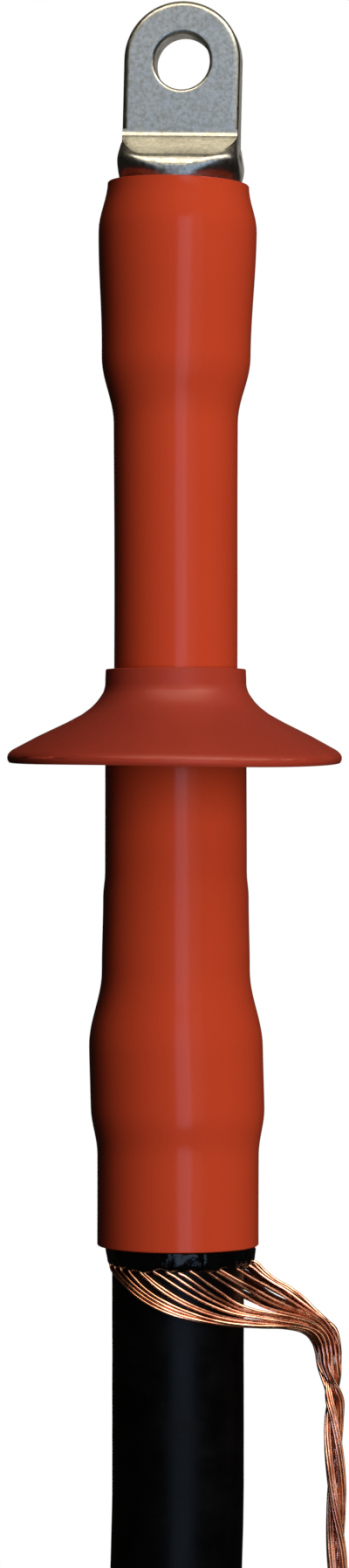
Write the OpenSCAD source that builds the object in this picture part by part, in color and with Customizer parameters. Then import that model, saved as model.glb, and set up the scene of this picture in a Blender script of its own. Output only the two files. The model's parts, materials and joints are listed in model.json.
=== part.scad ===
// Single-core medium-voltage cable termination, heat-shrink type, with bolted lug and screen-wire earth lead.
// Millimetres, Z up along the cable, origin at the centre of the lug's palm hole, palm facing -Y.
// Depths are measured downwards from the palm hole.

/* [Lug] */

// Width of the lug palm
palm_width = 36.5; // [34:0.5:40]
// Thickness of the lug palm
palm_thickness = 12.5; // [10:0.5:14]
// Distance from the palm hole to the palm's round end
palm_end = 19; // [18.5:0.5:24]
// Diameter of the palm hole
hole_diameter = 17.5; // [13:0.5:18]
// Chamfer round the palm hole
hole_chamfer = 1.2; // [0.6:0.2:1.6]
// Radius on the palm's edges
palm_edge = 1.9; // [0.8:0.1:2.2]
// Depth of the palm's root
palm_root = 23.4; // [21:0.2:24]
// Radius in the corner between the palm and the ramp
palm_fillet = 2.8; // [1.5:0.1:3.5]
// Slope of the ramp from the palm to the barrel
ramp_angle = 33; // [28:1:36]
// Outer diameter of the lug barrel
barrel_diameter = 38.2; // [36:0.2:40]
// Radius on the upright corners of the lug's head
head_corner = 14; // [11:0.5:16]
// Radius between the ramp and the head's front
head_edge = 6; // [3:0.5:7]
// Depth of the barrel's mouth
barrel_end = 98; // [92:1:99]
// Play of the conductor in the lug's bore, on the radius
bore_play = 0.8; // [0.5:0.1:1.5]
// Lean of the lug off the cable's axis, in degrees
lug_lean = 1.4; // [0:0.1:1.6]
// Diameter of the shear bolts
bolt_diameter = 14; // [12:1:15]
// Distance between the shear bolts
bolt_pitch = 22; // [20:1:23]

/* [Cable] */

// Diameter of the conductor
conductor_diameter = 20.4; // [19:0.2:20.6]
// Strands in the conductor's outer layer
outer_strands = 18; // [16:1:20]
// Wall of the conductor screen
conductor_screen_wall = 0.55; // [0.4:0.05:0.7]
// Wall of the insulation
insulation_wall = 5.5; // [4.5:0.1:5.6]
// Wall of the insulation screen
insulation_screen_wall = 0.6; // [0.4:0.05:0.7]
// Wall of the bedding tape under the screen wires
bedding_wall = 0.25; // [0.15:0.05:0.3]
// Number of screen wires
wire_count = 32; // [28:2:32]
// Diameter of a screen wire
wire_diameter = 0.95; // [0.8:0.05:0.95]
// Wall of the separator tape over the screen wires
separator_wall = 0.15; // [0.1:0.05:0.2]
// Wall of the outer sheath
sheath_wall = 2.1; // [1.8:0.1:2.4]
// Depth of the cable's cut end
cable_end = 485; // [480:5:500]

/* [Termination] */

// Wall of the anti-tracking tube
tube_wall = 2.8; // [2.4:0.1:3]
// Depth of the tube's top edge
tube_top = 37.8; // [36:0.2:40]
// Depth of the tube's bottom edge
tube_bottom = 371.3; // [368:0.5:372]
// Greatest inner radius of the tube over the lug
lug_swell = 21.8; // [21.4:0.1:22.4]
// Greatest inner radius of the tube over the folded wires
fold_swell = 24.25; // [23.6:0.05:25]
// Depth of the insulation's cut end
insulation_end = 104; // [102:1:106]
// Depth of the insulation screen's cut edge
screen_cut = 262; // [255:1:265]
// Depth of the outer sheath's cut edge
sheath_cut = 318; // [314:1:320]
// Length of the void filler above the screen's cut edge
filler_length = 6; // [4:0.5:8]
// Wall of the stress control tube
stress_wall = 2.6; // [2:0.1:2.8]
// Film of sealing mastic between the wires and the tube
mastic_film = 0.4; // [0.3:0.05:0.6]
// Bedding of sealing mastic between the sheath and the wires
mastic_bed = 0.25; // [0.2:0.05:0.4]
// How far the mastic band shows below the tube
band_drop = 4.7; // [3.5:0.1:5]
// How far the mastic band stands out from its film
band_bulge = 1.2; // [0.6:0.1:1.6]

/* [Rain skirt] */

// Depth of the collar's top edge
skirt_top = 190.3; // [180:0.5:195]
// Wall of the collar and of the skirt
skirt_wall = 2.3; // [1.9:0.05:2.7]
// Height of the collar on the tube
collar_height = 11; // [9:0.5:12]
// Fall of the skirt from the collar's top to its neck
skirt_neck = 17.2; // [16:0.2:18]
// Film of sealing mastic inside the collar
collar_film = 0.4; // [0.3:0.05:0.5]
// Diameter of the skirt's rim
skirt_diameter = 105.3; // [100:0.5:110]
// Fall of the skirt from the collar's top to its rim
skirt_fall = 28.6; // [26:0.2:30]

/* [Earth lead] */

// Distance of the lead from the cable's axis
lead_offset = 49.4; // [47:0.2:51]
// Spacing of the wires where they gather
gather_pitch = 1.16; // [1.1:0.02:1.2]
// Depth at which the gathered wires turn into the lead
gather_depth = 404.8; // [403:0.2:407]
// Diameter of the twisted lead
lead_diameter = 6.6; // [6:0.1:7]
// Depth of the earth lug's mouth
lead_mouth = 512; // [500:1:530]
// How far the lead goes into the earth lug
crimp_depth = 16; // [12:1:20]
// Wall of the earth lug's barrel
crimp_wall = 1.8; // [1.4:0.1:2.2]
// Width of the earth lug's palm
earth_palm_width = 18; // [16:0.5:20]
// Diameter of the earth lug's hole
earth_hole = 10.5; // [8.4:0.1:10.5]

/* [Hidden] */

$fn = 96;

// Clearance between one layer and the next
gap = 0.06;
// How far the lug presses the conductor's end together, on the radius
end_press = 0.3;

// Radii of the cable's layers, each from the one below it
conductor_r = conductor_diameter / 2;
core_screen_in = conductor_r + gap;
core_screen_r = core_screen_in + conductor_screen_wall;
insulation_in = core_screen_r + gap;
insulation_r = insulation_in + insulation_wall;
ins_screen_in = insulation_r + gap;
ins_screen_r = ins_screen_in + insulation_screen_wall;
bedding_in = ins_screen_r + gap;
bedding_r = bedding_in + bedding_wall;
wire_r = wire_diameter / 2;
wire_lay = bedding_r + gap + wire_r;
separator_in = wire_lay + wire_r + gap;
separator_r = separator_in + separator_wall;
sheath_in = separator_r + gap;
sheath_r = sheath_in + sheath_wall;
seal_in = sheath_r + gap;
seal_r = seal_in + mastic_bed;
wire_back = seal_r + gap + wire_r;
film_in = wire_back + wire_r + gap;
film_r = film_in + mastic_film;

// Radii of the termination's layers
barrel_r = barrel_diameter / 2;
stress_top = skirt_top + 20.7;
// Lengths of bare insulation screen above the sheath's edge and of sheath covered by the tube
bare_screen = sheath_cut - screen_cut;
covered_sheath = tube_bottom - sheath_cut;
stress_bottom = sheath_cut - bare_screen * 18 / 56;
seal_top = sheath_cut - bare_screen * 32 / 56;
fold_top = sheath_cut - 4;
stress_r = ins_screen_in + stress_wall;
stress_wide = bedding_in + stress_wall;
// Depths of the lug's bore and of the conductor's end in it
bore_end = 42;
conductor_end = bore_end + 3;

// Where the bare conductor bends, and where the lug's lean carries the palm hole
lean_depth = (barrel_end + insulation_end) / 2;
hole_shift = [lean_depth * sin(lug_lean), 0, lean_depth * (cos(lug_lean) - 1)];

// Depth and inner radius of the anti-tracking tube over the lug, where it leans with the lug
lug_knots = [
    [tube_top, barrel_r + gap + 0.05],
    [tube_top + 15, lug_swell],
    [barrel_end - 6, barrel_r + 1.25],
    [insulation_end + 9, insulation_r + gap]
];
// Depth and inner radius of the tube over the cable, where it lies on what is under it
cable_knots = [
    [insulation_end + 2, insulation_r + gap],
    [stress_top - 8, insulation_r + gap],
    [stress_top - 0.3, stress_r + gap],
    [screen_cut - 8, stress_r + gap],
    [screen_cut, stress_wide + gap],
    [sheath_cut - bare_screen * 33 / 56, stress_wide + gap + 0.35],
    [sheath_cut - bare_screen * 9 / 56, fold_swell],
    [sheath_cut + covered_sheath * 10 / 53.3, fold_swell],
    [sheath_cut + covered_sheath * 25 / 53.3, film_r + gap],
    [tube_bottom, film_r + gap]
];
// Outer radius of the tube where it lies on the insulation
tube_r = insulation_r + gap + tube_wall;

// A smooth step between two knots
function eased(t) = (1 - cos(180 * t)) / 2;
function knot_points(knots, a, b) = [for (k = [0:len(knots) - 2], s = [0:7])
    let (p = knots[k], q = knots[k + 1], t = s / 8,
        flat = abs(p[1] - q[1]) < 0.001, d = p[0] + (q[0] - p[0]) * t)
    if ((!flat || s == 0) && d > a + 0.01 && d < b - 0.01) [p[1] + (q[1] - p[1]) * eased(t), -d]];
function knot_at(knots, d, k = 0) = let (p = knots[k], q = knots[k + 1])
    d <= q[0] || k == len(knots) - 2
        ? p[1] + (q[1] - p[1]) * eased((d - p[0]) / (q[0] - p[0])) : knot_at(knots, d, k + 1);
// A face through the knots from depth a to depth b, moved out by m
function face(knots, a, b, m) = [for (p = concat([[knot_at(knots, a), -a]], knot_points(knots, a, b),
    [[knot_at(knots, b), -b]])) [p[0] + m, p[1]]];
// The face over the lug, which runs on as a straight cone into the tube over the cable
cone_from = insulation_end + 3;
cone_run = 7;
cone_slope = knot_at(lug_knots, cone_from - 0.5) - knot_at(lug_knots, cone_from + 0.5);
function lug_face(m) = concat(face(lug_knots, tube_top, cone_from, m),
    [[knot_at(lug_knots, cone_from) - cone_slope * cone_run + m, -cone_from - cone_run]]);

// An arc that rounds the corner p between the directions u and v
function corner_arc(p, u, v, r, n) = let (h = acos(u * v) / 2, m = (u + v) / norm(u + v),
    c = p + m * r / sin(h), a = p + u * r / tan(h) - c, b = p + v * r / tan(h) - c, w = acos(a * b / r / r))
    [for (i = [0:n]) c + a * sin(w * (1 - i / n)) / sin(w) + b * sin(w * i / n) / sin(w)];

// Places of the screen wires in the gathered bundle, column by column from the outside of the bend
columns = [2, 2, 3, 3, 3, 2, 1];
function column(k, c = 0) = c == 6 || k < columns[c] ? [c, k] : column(k - columns[c], c + 1);

// Share of a wire's way from the band to the lead, and its fall on the right, on the left and by its place
way = [0, 0.05, 0.12, 0.21, 0.32, 0.45, 0.6, 0.75, 0.87, 0.95, 0.985, 1];
right_fall = [0, 1.4, 3.3, 5.7, 8.4, 11.4, 14.3, 17, 19.9, 23, 25.3, 28.2];
left_fall = [0, 3.6, 7.4, 10.6, 12.6, 13.8, 14.9, 16.6, 18.6, 20.4, 23.2, 28.2];
rank_spread = [0, 0, 0.06, 0.15, 0.26, 0.36, 0.38, 0.28, 0.13, 0.03, 0, 0];
stack_spread = [0, 0, 0, 0.02, 0.06, 0.12, 0.25, 0.48, 0.72, 0.86, 0.6, 0];
side_spread = [0, 0, 0, 0, 0.3, 0.7, 1, 1, 0.7, 0.3, 0.1, 0];
fan_top = tube_bottom + band_drop + 0.6;
fan_scale = (gather_depth - fan_top) / 28.2;

function polar(r, a) = [r * cos(a), r * sin(a)];
// The way of wire k on the front (side -1) or back (side 1), from the band to where the lead begins
function fan(k, side) = let (m = (k + 0.5) * 360 / wire_count, cj = column(k), c = cj[0], j = cj[1],
    g = [lead_offset + 3.5 - gather_pitch * c, gather_pitch * (j + 0.5)], d = norm(g),
    leave = acos(wire_back / d) + atan(g[1] / g[0]), turn = min(m, leave), p = polar(wire_back, turn),
    round = (m - turn) * PI / 180 * wire_back, straight = norm(g - p), w = m / 180)
    [for (i = [0:len(way) - 1]) let (s = way[i] * (round + straight),
        q = s < round ? polar(wire_back, m - s / wire_back * 180 / PI) : p + (g - p) * (s - round) / straight,
        fall = (1 - w) * right_fall[i] + w * left_fall[i]
            - (3 - c) * stack_spread[i] - (7.5 - k) * rank_spread[i])
        [q[0], side * (q[1] + j * 0.5 * side_spread[i]), -fan_top - fall * fan_scale]];
// The whole wire: up under the sheath, folded over its edge, down outside it and out into the fan
function wire_path(k, side) = let (a = side * (k + 0.5) * 360 / wire_count,
    mid = (wire_lay + wire_back) / 2, bend = (wire_back - wire_lay) / 2)
    concat([concat(polar(wire_lay, a), -cable_end)],
        [for (t = [180:-36:0]) concat(polar(mid + bend * cos(t), a), -sheath_cut + 0.8 + bend * sin(t))],
        [concat(polar(wire_back, a), -fan_top + 3)], fan(k, side));

// A closed tube swept along a path, its rings carried along without twist
function unit(v) = v / norm(v);
function heading(p, k) = unit(p[min(k + 1, len(p) - 1)] - p[max(k - 1, 0)]);
function square_to(n, t) = unit(n - (n * t) * t);
function normals(p, n0) = [for (k = 0, n = square_to(n0, heading(p, 0)); k < len(p);
    k = k + 1, n = k < len(p) ? square_to(n, heading(p, k)) : n) n];
function sweep_points(p, r, sides, n0) = let (ns = normals(p, n0))
    [for (k = [0:len(p) - 1], s = [0:sides - 1]) let (a = 360 * s / sides)
        p[k] + r * (cos(a) * ns[k] + sin(a) * cross(heading(p, k), ns[k]))];
function sweep_faces(rings, sides, o) = concat(
    [for (k = [0:rings - 2], s = [0:sides - 1], h = [0, 1]) let (a = o + k * sides, n = (s + 1) % sides)
        h == 0 ? [a + s, a + sides + n, a + n] : [a + s, a + sides + s, a + sides + n]],
    [[for (s = [0:sides - 1]) o + s]],
    [[for (s = [sides - 1:-1:0]) o + (rings - 1) * sides + s]]);

// The part is drawn about the cable's axis and moved so that the palm hole is at the origin
module placed() { translate(-hole_shift) children(); }
module leaning() {
    translate([0, 0, -lean_depth]) rotate([0, lug_lean, 0]) translate([0, 0, lean_depth]) children();
}
// A plain layer of the cable
module layer(inner, outer, top) { ring(inner, outer, top, cable_end); }
// A plain ring of a layer between two depths
module ring(inner, outer, top, bottom) {
    translate([0, 0, -bottom]) linear_extrude(bottom - top) difference() { circle(outer); circle(inner); }
}
// A solid turned about the axis inside a face
module turned(line) {
    rotate_extrude() polygon(concat([[0, line[0][1]]], line, [[0, line[len(line) - 1][1]]]));
}
module rounded_bar(w, t, r) {
    square([w - 2 * r, t], center = true);
    square([w, t - 2 * r], center = true);
    for (x = [-1, 1], y = [-1, 1]) translate([x * (w / 2 - r), y * (t / 2 - r)]) circle(r, $fn = 32);
}
// A flat palm with a round end at the top, from z = low to z = high
module palm(w, t, r, low, high) {
    translate([0, 0, low]) linear_extrude(high - w / 2 - low) rounded_bar(w, t, r);
    translate([0, 0, high - w / 2]) intersection() {
        rotate([90, 0, 0]) rotate_extrude() intersection() {
            rounded_bar(w, t, r);
            translate([0, -t]) square([w, 2 * t]);
        }
        translate([-w, -w, 0]) cube([2 * w, 2 * w, w]);
    }
}
// What is milled off in front of a palm, down a ramp that ends round at the front of what it is cut in
module ramp_cut(t, root, angle, r, front, edge) {
    v = [-cos(angle), -sin(angle)];
    foot = [-t / 2, -root];
    nose = corner_arc(foot + v * (front - t / 2) / cos(angle), -v, [0, -1], edge, 8);
    outline = concat([[-t / 2, 60]], corner_arc(foot, [0, 1], v, r, 5), nose, [[-60, nose[8][1]], [-60, 60]]);
    rotate([90, 0, 90]) translate([0, 0, -50]) linear_extrude(100) polygon(outline);
}
// A hole along Y through a palm, chamfered at both faces
module palm_bore(d, t, c) {
    rotate([90, 0, 0]) translate([0, 0, -t]) cylinder(r = d / 2, h = 2 * t);
    for (s = [-1, 1]) rotate([s * 90, 0, 0]) translate([0, 0, t / 2 - c])
        cylinder(r1 = d / 2, r2 = d / 2 + 2 * c, h = 2 * c);
}

// The lug's head, square with round corners and turned down to the round barrel just above the tube
module lug_head(front) {
    side = palm_width / 2 - 0.1;
    corner_r = norm([side - head_corner, front - head_corner]) + head_corner;
    foot = -tube_top + 0.5;
    intersection() {
        translate([0, 0, foot]) linear_extrude(tube_top - 0.5 - palm_root + 2)
            rounded_bar(2 * side, 2 * front, head_corner);
        turned([[corner_r + 0.1, -palm_root + 3], [corner_r + 0.1, -palm_root - 7], [barrel_r - 0.3, foot]]);
    }
}

module cable_lug() {
    barrel_top = palm_root + 3;
    head_front = barrel_r + 0.2;
    color("silver") leaning() difference() {
        union() {
            palm(palm_width, palm_thickness, palm_edge, -palm_root - 14, palm_end);
            difference() {
                union() {
                    rotate_extrude() polygon(concat([[0, -barrel_end], [barrel_r - 0.8, -barrel_end],
                        [barrel_r, -barrel_end + 0.8]], [for (t = [0:18:90])
                        [barrel_r - 3.5 + 3.5 * cos(t), -barrel_top - 3.5 + 3.5 * sin(t)]],
                        [[0, -barrel_top]]));
                    lug_head(head_front);
                }
                for (s = [0, 1]) mirror([0, s, 0])
                    ramp_cut(palm_thickness, palm_root, ramp_angle, palm_fillet, head_front + 0.05,
                        head_edge);
            }
        }
        palm_bore(hole_diameter, palm_thickness, hole_chamfer);
        translate([0, 0, -barrel_end - 1])
            cylinder(r = conductor_r + bore_play, h = barrel_end + 1 - bore_end);
        for (s = [0, 1]) translate([0, 0, -barrel_end + 13 + s * bolt_pitch]) rotate([-90, 0, 0])
            cylinder(r = bolt_diameter / 2 + gap, h = 40);
    }
}
module shear_bolts() {
    tip = conductor_r - end_press + gap;
    color("gainsboro") leaning() for (s = [0, 1])
        translate([0, 0, -barrel_end + 13 + s * bolt_pitch]) rotate([-90, 0, 0]) translate([0, 0, tip]) {
            cylinder(r = bolt_diameter / 2, h = barrel_r - 2.4 - tip);
            cylinder(r = bolt_diameter / 4, h = barrel_r - 1.6 - tip);
        }
}
module lug_mastic() {
    below = cone_from + 1;
    color("dimgray") difference() {
        leaning() difference() {
            turned(face(lug_knots, tube_top + 4, cone_from, -gap));
            translate([0, 0, -barrel_end - gap]) cylinder(r = barrel_r + gap, h = barrel_end);
            translate([0, 0, -below]) cylinder(r = conductor_r + 0.2, h = below - barrel_end);
        }
        translate([0, 0, -below]) cylinder(r = insulation_r + gap, h = below - insulation_end + gap);
    }
}
// The conductor's section, rounded lobes round a solid core
module strands(more) {
    strand_r = conductor_r * sin(180 / outer_strands) / (1 + sin(180 / outer_strands));
    circle(conductor_r - strand_r * 0.7 + more);
    for (i = [0:outer_strands - 1]) rotate(360 * i / outer_strands) translate([conductor_r - strand_r, 0])
        circle(strand_r + more, $fn = 24);
}
module conductor() {
    color("lightgray") {
        translate([0, 0, -cable_end]) linear_extrude(cable_end - lean_depth) strands(0);
        leaning() translate([0, 0, -lean_depth - 2]) linear_extrude(lean_depth + 2 - conductor_end)
            strands(-end_press);
    }
}
module conductor_screen() { color("black") layer(core_screen_in, core_screen_r, insulation_end); }
module insulation() {
    color("ivory") rotate_extrude() polygon([[insulation_in, -cable_end], [insulation_r, -cable_end],
        [insulation_r, -insulation_end - 1.5], [insulation_r - 1.2, -insulation_end],
        [insulation_in, -insulation_end]]);
}
module insulation_screen() { color("black") layer(ins_screen_in, ins_screen_r, screen_cut); }
module void_filler() {
    color("goldenrod") rotate_extrude() polygon([[insulation_r + gap, -screen_cut + gap],
        [ins_screen_r, -screen_cut + gap], [insulation_r + gap + 0.05, -screen_cut + filler_length],
        [insulation_r + gap, -screen_cut + filler_length]]);
}
module stress_control_tube() {
    step = -screen_cut + filler_length + 0.2;
    color("darkslategray") rotate_extrude() polygon([[insulation_r + gap, -stress_top],
        [stress_r, -stress_top], [stress_r, step], [stress_wide, -screen_cut + 0.2],
        [stress_wide, -stress_bottom], [bedding_in, -stress_bottom], [bedding_in, -screen_cut + 0.2],
        [insulation_r + 2 * gap + 0.05, step], [insulation_r + gap, step + 0.2]]);
}
module anti_tracking_tube() {
    from = cable_knots[0][0];
    inner = lug_face(0);
    color("firebrick") difference() {
        union() {
            leaning() turned(lug_face(tube_wall));
            turned(face(cable_knots, from, tube_bottom, tube_wall));
        }
        leaning() turned(concat([inner[0] + [0, 1]], inner));
        turned(concat(face(cable_knots, from, tube_bottom, 0), [[film_r + gap, -tube_bottom - 1]]));
    }
}
module skirt_mastic() {
    color("dimgray") ring(tube_r + gap, tube_r + gap + collar_film, skirt_top + 0.6,
        skirt_top + collar_height - 0.6);
}
module rain_skirt() {
    in_r = tube_r + 2 * gap + collar_film;
    out_r = in_r + skirt_wall;
    rim_r = skirt_diameter / 2;
    foot = -skirt_top - collar_height;
    neck = -skirt_top - skirt_neck;
    rim = -skirt_top - skirt_fall;
    color("brown") rotate_extrude() polygon([[in_r, -skirt_top], [out_r - 0.3, -skirt_top],
        [out_r, -skirt_top - 0.3], [out_r + 0.15, -skirt_top - 5.2], [out_r + 0.7, -skirt_top - 7.2],
        [out_r + 1.8, -skirt_top - 9], [out_r + 3, -skirt_top - 10.7], [out_r + 4.6, -skirt_top - 12.4],
        [out_r + 7.4, -skirt_top - 14.6], [out_r + 12, neck], [rim_r - 1.3, rim + 2.4],
        [rim_r - 0.3, rim + 1.6], [rim_r, rim + 0.8], [rim_r - 0.5, rim], [rim_r - 3.2, rim],
        [out_r + 11, neck - skirt_wall - 0.65], [in_r + 5, foot - 3.4], [in_r + 1.6, foot - 1.2],
        [in_r, foot]]);
}
module bedding_tape() { color("dimgray") layer(bedding_in, bedding_r, fold_top + gap); }
module screen_wires() {
    paths = [for (k = [0:wire_count / 2 - 1], side = [-1, 1]) wire_path(k, side)];
    rings = len(paths[0]);
    color("peru") polyhedron(
        [for (p = paths) each sweep_points(p, wire_r, 6, [-p[0][1], p[0][0], 0])],
        [for (i = [0:len(paths) - 1]) each sweep_faces(rings, 6, i * rings * 6)]);
}
module separator_tape() { color("wheat") layer(separator_in, separator_r, sheath_cut + 1); }
module outer_sheath() { color("black") layer(sheath_in, sheath_r, sheath_cut); }
module inner_seal_mastic() { color("dimgray") ring(seal_in, seal_r, sheath_cut + 3, fan_top - 2); }
module outer_seal_mastic() {
    low = tube_bottom + gap;
    foot = tube_bottom + band_drop;
    band_r = film_r + band_bulge;
    color("dimgray") rotate_extrude() polygon(concat([[stress_wide + gap, -seal_top]],
        face(cable_knots, seal_top, tube_bottom, -gap),
        [[film_r, -low], [band_r, -low], [band_r, -foot + 1.2],
        [band_r - 0.6, -foot + 0.3], [film_r, -foot], [film_in, -foot], [film_in, -fold_top],
        [bedding_in, -fold_top], [bedding_in, -stress_bottom - gap],
        [stress_wide + gap, -stress_bottom - gap]]));
}
module earth_lead() {
    low = lead_mouth + crimp_depth;
    path = [for (t = [0:0.125:1]) [lead_offset + 0.9 * eased(min(1, t * 1.6)), 0,
        -gather_depth - gap - wire_r - (low - gather_depth) * t]];
    color("peru") polyhedron(sweep_points(path, lead_diameter / 2, 10, [1, 0, 0]),
        sweep_faces(len(path), 10, 0));
}
module earth_lug() {
    in_r = lead_diameter / 2 + 2 * gap;
    out_r = in_r + crimp_wall;
    root = crimp_depth + 6;
    foot = root + 24;
    color("silver") translate([lead_offset + 0.9, 0, -lead_mouth]) difference() {
        union() {
            mirror([0, 0, 1]) palm(earth_palm_width, 4, 0.8, root - 6, foot);
            difference() {
                translate([0, 0, -root - 5]) cylinder(r = out_r, h = root + 5);
                for (s = [0, 1]) mirror([0, s, 0]) translate([0, 0, -root]) mirror([0, 0, 1])
                    ramp_cut(4, 0, 40, 1, out_r + 0.05, 0.6);
            }
        }
        translate([0, 0, -crimp_depth - 1.5]) cylinder(r = in_r, h = crimp_depth + 2);
        translate([0, 0, -foot + earth_palm_width / 2]) palm_bore(earth_hole, 4, 0.4);
    }
}

placed() cable_lug();
placed() shear_bolts();
placed() lug_mastic();
placed() conductor();
placed() conductor_screen();
placed() insulation();
placed() insulation_screen();
placed() void_filler();
placed() stress_control_tube();
placed() anti_tracking_tube();
placed() skirt_mastic();
placed() rain_skirt();
placed() bedding_tape();
placed() screen_wires();
placed() separator_tape();
placed() outer_sheath();
placed() inner_seal_mastic();
placed() outer_seal_mastic();
placed() earth_lead();
placed() earth_lug();
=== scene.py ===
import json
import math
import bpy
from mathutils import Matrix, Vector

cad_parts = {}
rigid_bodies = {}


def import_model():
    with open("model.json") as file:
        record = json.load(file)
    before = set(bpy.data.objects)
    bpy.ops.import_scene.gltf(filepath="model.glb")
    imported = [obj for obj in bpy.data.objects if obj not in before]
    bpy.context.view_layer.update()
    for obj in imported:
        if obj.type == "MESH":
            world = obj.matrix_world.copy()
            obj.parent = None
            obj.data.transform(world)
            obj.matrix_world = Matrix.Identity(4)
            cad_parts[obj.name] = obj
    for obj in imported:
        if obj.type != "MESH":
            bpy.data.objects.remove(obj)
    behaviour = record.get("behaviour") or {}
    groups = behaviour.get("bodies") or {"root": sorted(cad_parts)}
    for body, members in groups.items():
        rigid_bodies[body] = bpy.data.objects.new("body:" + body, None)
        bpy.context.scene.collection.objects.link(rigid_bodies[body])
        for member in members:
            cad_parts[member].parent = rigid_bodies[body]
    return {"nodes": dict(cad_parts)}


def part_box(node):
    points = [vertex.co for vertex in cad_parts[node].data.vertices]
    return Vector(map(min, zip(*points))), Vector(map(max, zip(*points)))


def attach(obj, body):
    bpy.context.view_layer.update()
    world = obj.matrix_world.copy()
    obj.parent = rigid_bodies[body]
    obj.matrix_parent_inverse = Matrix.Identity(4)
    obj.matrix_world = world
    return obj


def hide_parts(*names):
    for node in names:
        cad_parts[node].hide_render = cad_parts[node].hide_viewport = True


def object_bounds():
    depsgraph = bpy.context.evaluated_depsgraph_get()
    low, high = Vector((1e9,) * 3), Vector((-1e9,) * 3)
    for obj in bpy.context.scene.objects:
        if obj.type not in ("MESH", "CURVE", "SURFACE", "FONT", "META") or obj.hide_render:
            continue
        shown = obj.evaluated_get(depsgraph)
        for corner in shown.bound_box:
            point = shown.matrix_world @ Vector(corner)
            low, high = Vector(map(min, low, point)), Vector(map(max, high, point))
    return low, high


bl_info = {
    "name": "Cable termination",
    "version": (1, 0, 0),
    "blender": (4, 5, 0),
    "location": "View3D > Sidebar > Termination",
    "description": "Dresses a heat-shrink cable termination, from its lug to its earth lead",
    "category": "Object",
}

import bmesh
import bpy
from mathutils import Vector, noise

for leftover in list(bpy.data.objects):
    bpy.data.objects.remove(leftover)
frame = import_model()
CAD_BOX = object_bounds()

# Lengths below are millimetres about the cable's axis, with depths measured down from the palm hole
MM = 0.001
# Points closer than this, in metres, are welded
WELD = 1e-6
SHEATH_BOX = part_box("outer_sheath")
AXIS_X = (SHEATH_BOX[0][0] + SHEATH_BOX[1][0]) / 2
SHEATH_R = (SHEATH_BOX[1][0] - SHEATH_BOX[0][0]) / 2 / MM
# The lug leans off the cable's axis about this depth
LEAN_DEPTH = 101.0
LEAN = math.asin(-AXIS_X / MM / LEAN_DEPTH)
# The stretch over which the tube takes up the lean
LEAN_RUN = 18.0
# How far the cable wanders sideways, from what depth and over what stretch
SWAY = 0.7
SWAY_FROM = 300.0
SWAY_RUN = 40.0
RAISE = LEAN_DEPTH * (1 - math.cos(LEAN))
CABLE_END = RAISE - SHEATH_BOX[0][2] / MM
SHEATH_CUT = RAISE - SHEATH_BOX[1][2] / MM

# The lug's shoulder below the palm: depth, half width, half depth from front to back, and corner radius
SHOULDER = (
    (24.9, 17.6, 7.2, 2.0), (25.6, 18.1, 9.2, 2.6), (26.4, 18.3, 10.9, 3.2),
    (28.2, 18.5, 13.68, 4.4), (29.6, 18.7, 15.84, 5.6), (30.5, 18.85, 17.1, 6.6),
    (31.1, 18.95, 17.75, 7.4), (31.8, 19.05, 18.3, 8.4), (32.6, 19.12, 18.75, 9.8),
    (33.6, 19.18, 19.1, 11.6), (34.8, 19.22, 19.3, 14.0), (36.0, 19.24, 19.34, 17.0),
    (37.4, 19.25, 19.25, 19.2), (40.0, 18.9, 18.9, 18.8),
)
# Half the palm's thickness, and its hole's radius and rounding
PALM_FACE = 6.25
HOLE_R = 8.75
HOLE_ROUND = 1.2
# How many steps round off a quarter turn of the lug's corners
CORNER_STEPS = 8

# The red tube: depth and outer radius
TUBE_KNOTS = (
    (37.8, 22.2), (52.8, 24.9), (92.0, 23.4), (113.0, 19.5), (203.0, 19.35), (210.7, 22.2),
    (254.0, 22.3), (262.0, 22.9), (285.0, 23.3), (309.0, 27.3), (328.0, 27.3), (343.0, 25.4),
    (371.3, 25.36),
)
TUBE_TOP = TUBE_KNOTS[0][0]
TUBE_BOTTOM = TUBE_KNOTS[-1][0]
# The tube's broken edges, its share of the lug's lean, and the slope and reach of its askew top
TUBE_EDGE = 0.3
TUBE_LEAN = 0.55
TUBE_ASKEW = 0.018
TUBE_ASKEW_RUN = 14.0

# The rain skirt: radius and depth of its outside and of its underside
SKIRT_OUTSIDE = (
    (19.75, 190.3), (21.75, 190.3), (22.05, 190.6), (22.15, 193.0), (22.2, 195.5), (22.75, 197.5),
    (23.85, 199.2), (25.05, 200.8), (26.65, 202.4), (29.45, 204.5), (34.05, 207.0), (43.0, 211.35),
    (51.2, 215.8), (52.3, 216.9), (52.65, 217.9), (52.5, 219.0), (52.0, 219.6),
)
SKIRT_UNDERSIDE = ((49.45, 219.2), (33.05, 210.45), (24.75, 204.7), (21.35, 202.5), (19.75, 201.3))

# The radius where the skirt begins to flare and its run, and the rim's slopes, shift and rounding
FLARE_FROM = 24.0
FLARE_RUN = 28.0
SKIRT_SLOPE_X = 0.009
SKIRT_SLOPE_Y = 0.03
SKIRT_SHIFT = 0.4
SKIRT_ROUND = 0.6

# The mastic: radii and ends of its film, and radius and depth round the band below the tube
FILM_INSIDE = 22.15
FILM_OUTSIDE = 22.5
FILM_INSIDE_END = 374.0
FILM_OUTSIDE_END = 370.0
FILM_STEPS = 12
BAND = (
    (22.7, 370.7), (23.1, 371.2), (23.35, 371.9), (23.4, 372.8), (23.35, 373.7), (23.25, 374.6),
    (23.1, 375.4), (22.9, 376.2), (22.6, 376.9), (22.2, 377.5), (21.8, 377.7), (21.3, 377.5),
    (21.1, 376.8), (21.5, 375.4),
)
# Where the band comes free of the tube and where it begins to drip, its shift and its longest drip
BAND_FREE = 370.5
DRIP_FROM = 371.5
BAND_SHIFT = 0.8
DRIP = 1.3

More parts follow.
